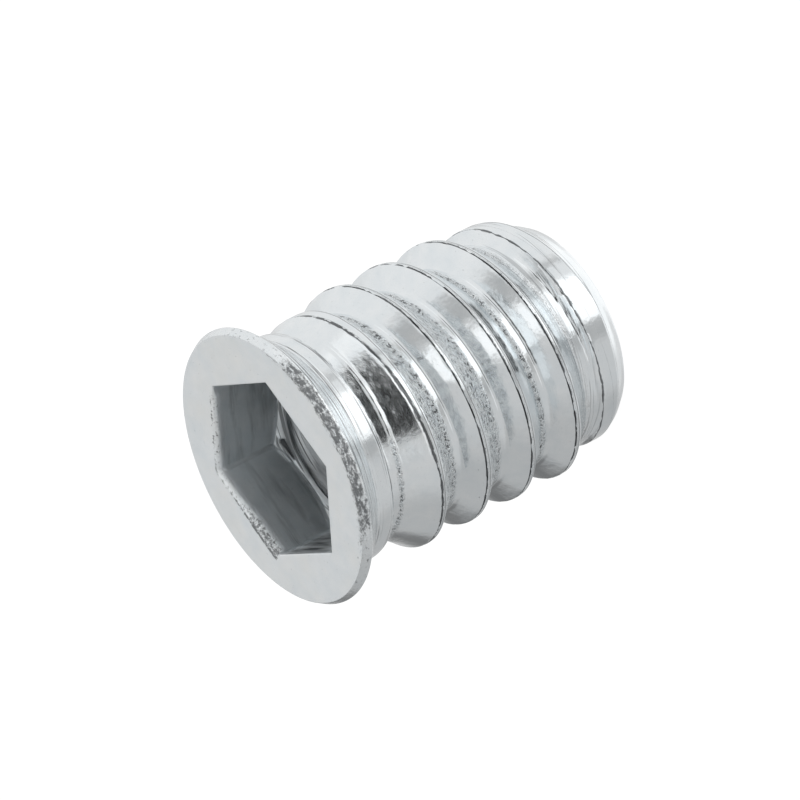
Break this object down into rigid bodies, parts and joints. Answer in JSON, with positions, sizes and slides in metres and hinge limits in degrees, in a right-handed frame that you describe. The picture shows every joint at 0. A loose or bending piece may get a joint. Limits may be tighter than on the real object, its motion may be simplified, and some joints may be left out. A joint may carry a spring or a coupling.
{
  "type": "threaded insert",
  "caption": "Flanged steel insert with a coarse wood thread outside, a hexagon drive socket and a through bore for a machine screw.",
  "frame": {"origin": "centre of the tip end, on the surface that the insert stands on", "axes": "+Z along the bore's axis, from the tip end towards the flange; a pair of the hexagon socket's corners lies on the X axis"},
  "size_m": [0.013, 0.013, 0.016],
  "materials": {
    "bright_zinc": "bright blue-white zinc plate on cold-formed steel"
  },
  "bodies": {
    "root": {"insert": "bright_zinc"}
  },
  "joints": []
}
